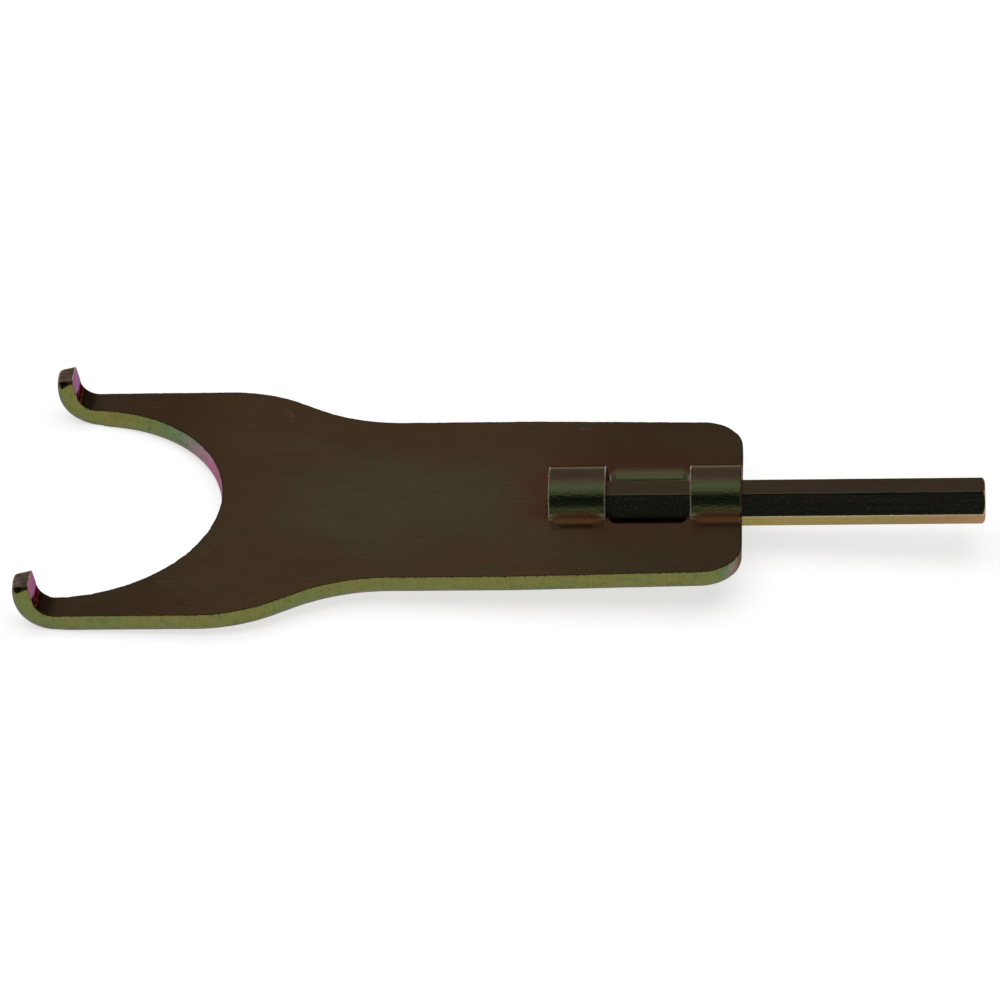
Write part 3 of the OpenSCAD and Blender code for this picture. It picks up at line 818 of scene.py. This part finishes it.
def sheared():
    n = Nodes("chromate_sheared")
    wall = n.attr("wall")["Vector"]
    flat = n.attr("flat")["Vector"]
    face = n.facing()
    ws = n.sep(wall)
    jit = n.noise(n.vec(wall, (55, 300, 1)), 1.0, 3.0, 0.6)
    fc = n.math("ADD", face, n.rng(jit, 0.3, 0.7, -0.05, 0.05, "LINEAR"))
    c = n.ramp(fc, IR_SHEAR)
    up = n.noise(n.vec(wall, (1500, 110, 1)), 1.0, 5.0, 0.7)          # upright shear marks
    pit = n.voro(n.vec(wall, (900, 1100, 1), (3, 5, 0)), 1.0)
    pits = n.math("MULTIPLY", n.rng(pit, 0.10, 0.22, 1.0, 0.0), n.rng(n.noise(n.vec(wall, (210, 500, 1), (4, 1, 0)), 1.0, 2.0), 0.52, 0.64, 0, 1))
    blot = n.noise(n.vec(wall, (300, 420, 1), (2, 2, 0)), 1.0, 4.0, 0.65)
    c = n.mix(n.rng(up, 0.35, 0.68, 0.0, 0.55), c, n.mix(1.0, c, (1.35, 1.30, 1.22), "MULTIPLY"))
    c = n.mix(n.rng(blot, 0.50, 0.72, 0.0, 0.6), c, n.mix(1.0, c, (0.62, 0.74, 0.62), "MULTIPLY"))
    c = n.mix(n.rng(blot, 0.48, 0.30, 0.0, 0.35), c, n.mix(1.0, c, (1.20, 1.02, 1.0), "MULTIPLY"))
    # painted shade along the rolled lower edge of the wall, where it turns down towards the shadowed floor
    c = n.mix(n.rng(ws[1], -0.0028, -0.0021, 0.65, 0.0), c, (0.13, 0.10, 0.075))
    tc_ = n.math("MULTIPLY", n.rng(n.sep(flat)[0], 0.192, 0.206, 0.0, 0.9), n.rng(face, 0.36, 0.62, 0, 1))
    c = n.mix(tc_, c, (0.25, 0.205, 0.155))
    # painted dark reflection on the rolled corners of the arm ends, where they face the camera
    corner_dark_reflection = n.math("MULTIPLY", n.rng(n.sep(flat)[0], (S_MIN + 3.4) * MM, (S_MIN + 4.6) * MM, 1.0, 0.0), n.rng(n.math("SUBTRACT", n.math("ADD", face, n.rng(blot, 0.3, 0.7, -0.02, 0.02, "LINEAR")), n.rng(ws[1], -0.0022, 0.0012, 0.085, 0.0)), 0.055, 0.10, 0.95, 0.0))
    c = n.mix(corner_dark_reflection, c, (0.012, 0.010, 0.007))
    # dark ragged line under the upper edge
    edge_n = n.noise(n.vec(wall, (800, 1, 1)), 1.0, 4.0, 0.75)
    zz = n.math("ADD", ws[1], n.rng(edge_n, 0.42, 0.72, -0.0006, 0.00085, "LINEAR"))
    dark = n.rng(zz, 0.0026, 0.0031, 0.0, 0.8)
    c = n.mix(n.math("MAXIMUM", dark, n.math("MULTIPLY", pits, 0.75)), c, (0.045, 0.040, 0.025))
    rough = n.rng(blot, 0.3, 0.7, 0.30, 0.44, "LINEAR")
    h = n.math("SUBTRACT", n.math("ADD", n.math("MULTIPLY", up, 0.7), n.math("MULTIPLY", blot, 0.6)), n.math("MULTIPLY", pits, 1.2))
    nm = n.bump(h, 0.45, 0.00012)
    n.metal(c, rough, nm)
    return n.m

def claw_end():
    n = Nodes("chromate_cut_end")
    wall = n.attr("wall")["Vector"]
    up = n.noise(n.vec(wall, (700, 260, 1)), 1.0, 5.0, 0.7)
    blot = n.noise(n.vec(wall, (260, 330, 1), (2, 2, 0)), 1.0, 4.0, 0.65)
    c = n.mix(n.rng(up, 0.35, 0.65), (0.42, 0.27, 0.19), (0.80, 0.68, 0.52))
    c = n.mix(n.rng(blot, 0.5, 0.66, 0, 0.7), c, (0.20, 0.14, 0.10))
    face = n.facing()
    # painted dark reflection on the cut ends, where they face the camera
    c = n.mix(n.rng(n.math("ADD", face, n.rng(blot, 0.3, 0.7, -0.02, 0.02, "LINEAR")), 0.055, 0.10, 0.95, 0.0), c, (0.012, 0.010, 0.007))
    nm = n.bump(n.math("ADD", up, blot), 0.6, 0.00015)
    n.metal(c, 0.42, nm)
    return n.m

def bar_mat(end=False):
    n = Nodes("chromate_bar_end" if end else "chromate_bar")
    flat = n.attr("flat")["Vector"]
    face = n.facing()
    streak = n.noise(n.vec(flat, (14, 900, 300)), 1.0, 5.0, 0.65)
    blot = n.noise(n.vec(flat, (70, 90, 60), (1, 2, 3)), 1.0, 3.0, 0.6)
    c = n.ramp(face, [(0.0, (0.085, 0.085, 0.065)), (0.06, (0.10, 0.095, 0.07)), (0.14, (0.32, 0.30, 0.16)), (0.25, (0.34, 0.32, 0.16)), (0.39, (0.47, 0.30, 0.225)), (0.60, (0.36, 0.33, 0.13)), (0.8, (0.5, 0.36, 0.30)), (1.0, (0.5, 0.4, 0.5))])
    c = n.mix(n.rng(streak, 0.36, 0.68, 0.0, 0.35), c, n.mix(1.0, c, (1.4, 1.3, 1.2), "MULTIPLY"))
    c = n.mix(n.rng(blot, 0.5, 0.7, 0.0, 0.5), c, n.mix(1.0, c, (0.85, 1.0, 0.8), "MULTIPLY"))
    fx = n.sep(flat)[0]
    low = n.math("MULTIPLY", n.rng(fx, 0.235, 0.285, 0.0, 0.8), n.rng(face, 0.50, 0.58))
    sp_ = n.noise(n.vec(flat, (1100, 1300, 1), (3, 3, 0)), 1.0, 3.0, 0.75)
    c = n.mix(n.math("MULTIPLY", n.rng(sp_, 0.50, 0.66, 0.0, 0.9), n.rng(face, 0.12, 0.06, 0.15, 1.0)), c, n.mix(1.0, c, (2.4, 2.6, 2.3), "MULTIPLY"))
    c = n.mix(low, c, n.mix(1.0, c, (1.05, 0.86, 1.12), "MULTIPLY")) if not end else n.mix(n.rng(blot, 0.35, 0.65), (0.30, 0.27, 0.19), (0.42, 0.37, 0.26))
    vo = n.voro(n.vec(flat, (500, 500, 500)), 1.0)
    spk = n.math("MULTIPLY", n.rng(vo, 0.08, 0.15, 1.0, 0.0), n.rng(blot, 0.5, 0.62, 0, 1))
    c = n.mix(n.math("MULTIPLY", spk, 0.5), c, (0.6, 0.58, 0.5))
    h = n.math("ADD", n.math("MULTIPLY", streak, 0.8), n.math("MULTIPLY", spk, 1.0))
    nm = n.bump(h, 0.2, 0.00005)
    n.metal(c, n.rng(streak, 0.3, 0.7, 0.16, 0.24) if not end else 0.42, nm)
    return n.m

plate.data.materials.append(rolled())
plate.data.materials.append(sheared())
plate.data.materials.append(claw_end())
bar.data.materials.append(bar_mat())
bar.data.materials.append(bar_mat(True))

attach(plate, "root"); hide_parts("fork_plate")
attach(bar, "root"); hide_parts("hex_bar")

# ------------------------------------------------------------------ stage
sc = bpy.context.scene
# the tool rests on the undersides of its arms and on the valley's near edge
tilt = math.atan2(ARCH_RO - H2, S1 - BEND_X)
c0 = Vector(((BEND_X) * MM, 0, -H2 * MM))
nz = Vector((math.sin(tilt), 0, math.cos(tilt)))
xax = Vector((math.cos(tilt), 0, -math.sin(tilt)))
fm = bpy.data.meshes.new("floor")
R = 6.0
o = c0 - nz * 0.00003
fv = [o + xax * (R * sx) + Vector((0, R * sy, 0)) for sx, sy in ((-1, -1), (1, -1), (1, 1), (-1, 1))]
fm.from_pydata([tuple(v) for v in fv], [], [(0, 1, 2, 3)])
floor = bpy.data.objects.new("floor", fm)
sc.collection.objects.link(floor)
fn_ = Nodes("floor_pale")
p = fn_.n("BsdfDiffuse")
p.inputs["Color"].default_value = (0.86, 0.86, 0.86, 1)
em = fn_.n("Emission")                                  # a softly lit table top, so shadows stay light
em.inputs["Color"].default_value = (1, 1, 1, 1)
em.inputs["Strength"].default_value = 0.94
mx = fn_.n("MixShader")
mx.inputs[0].default_value = 0.72
fn_.l(p.outputs[0], mx.inputs[1])
fn_.l(em.outputs[0], mx.inputs[2])
fn_.l(mx.outputs[0], fn_.out.inputs[0])
fm.materials.append(fn_.m)

# world: bright near the horizon, darker above, dark behind the camera
w = bpy.data.worlds.new("studio")
sc.world = w
w.use_nodes = True
t = w.node_tree
t.nodes.clear()
wo = t.nodes.new("ShaderNodeOutputWorld")
bg = t.nodes.new("ShaderNodeBackground")
tc = t.nodes.new("ShaderNodeTexCoord")
sp = t.nodes.new("ShaderNodeSeparateXYZ")
at = t.nodes.new("ShaderNodeMath"); at.operation = "ARCTAN2"
dv = t.nodes.new("ShaderNodeMath"); dv.operation = "DIVIDE"; dv.inputs[1].default_value = math.pi
cr = t.nodes.new("ShaderNodeValToRGB")
stops = [(0.0, 1.0), (0.05, 0.26), (0.11, 0.13), (0.17, 0.085), (0.24, 0.075), (0.33, 0.11), (0.43, 0.24), (0.50, 0.30), (0.55, 0.24), (0.59, 0.015), (0.77, 0.010), (0.81, 0.04), (0.85, 0.065), (0.93, 0.07), (1.0, 0.5)]
cr.color_ramp.elements[0].position = 0.0
cr.color_ramp.elements[0].color = (stops[0][1],) * 3 + (1,)
cr.color_ramp.elements[1].position = 1.0
cr.color_ramp.elements[1].color = (stops[-1][1],) * 3 + (1,)
for pz, v in stops[1:-1]:
    e = cr.color_ramp.elements.new(pz)
    e.color = (v, v, v, 1)
t.links.new(tc.outputs["Generated"], sp.inputs[0])
t.links.new(sp.outputs["Z"], at.inputs[0])
t.links.new(sp.outputs["Y"], at.inputs[1])
t.links.new(at.outputs[0], dv.inputs[0])
t.links.new(dv.outputs[0], cr.inputs[0])
ab = t.nodes.new("ShaderNodeMath"); ab.operation = "ABSOLUTE"
mr = t.nodes.new("ShaderNodeMapRange")
mr.interpolation_type = "SMOOTHSTEP"
for i_, v_ in enumerate((0.24, 0.52, 0.0, 1.0)):
    mr.inputs[i_ + 1].default_value = v_
mw = t.nodes.new("ShaderNodeMix"); mw.data_type = "RGBA"
soc = {q.identifier: q for q in mw.inputs}
soc["B_Color"].default_value = (0.13, 0.13, 0.13, 1)
t.links.new(sp.outputs["X"], ab.inputs[0])
t.links.new(ab.outputs[0], mr.inputs[0])
t.links.new(mr.outputs[0], soc["Factor_Float"])
t.links.new(cr.outputs[0], soc["A_Color"])
t.links.new([q for q in mw.outputs if q.identifier == "Result_Color"][0], bg.inputs[0])
t.links.new(bg.outputs[0], wo.inputs[0])

def area(name, loc, target, size, power, glossy=False):
    ld = bpy.data.lights.new(name, "AREA")
    ld.shape = "RECTANGLE"
    ld.size, ld.size_y = size
    ld.energy = power
    ob = bpy.data.objects.new(name, ld)
    ob.location = loc
    ob.rotation_euler = (Vector(target) - Vector(loc)).to_track_quat("-Z", "Y").to_euler()
    ob.visible_glossy = glossy
    sc.collection.objects.link(ob)
    return ob
area("softbox_top", (0.15, 0.0, 1.5), (0.15, 0, 0), (2.2, 2.2), 52)

cam_d = bpy.data.cameras.new("camera")
cam = bpy.data.objects.new("camera", cam_d)
sc.collection.objects.link(cam)
cam_d.sensor_width = 36.0
cam_d.lens = 160.01
cam_d.clip_start = 0.05
cam_d.clip_end = 50
right = Vector((0.99702168, 0.04682406, -0.06128032))
upv = Vector((0.01995997, 0.61085043, 0.79149438))
fwd = Vector((-0.07449409, 0.79036021, -0.60809652))
roll = math.radians(0.6)
right, upv = right * math.cos(roll) + upv * math.sin(roll), upv * math.cos(roll) - right * math.sin(roll)
cam_d.shift_y = 0.0027
rot = Matrix((right, upv, -fwd)).transposed().to_4x4()
cam.matrix_world = Matrix.Translation(Vector((0.24034564, -1.10411932, 0.85044351))) @ rot
sc.camera = cam
sc.view_settings.view_transform = "Standard"
sc.view_settings.look = "None"
sc.view_settings.exposure = 0.0
sc.view_settings.gamma = 1.0
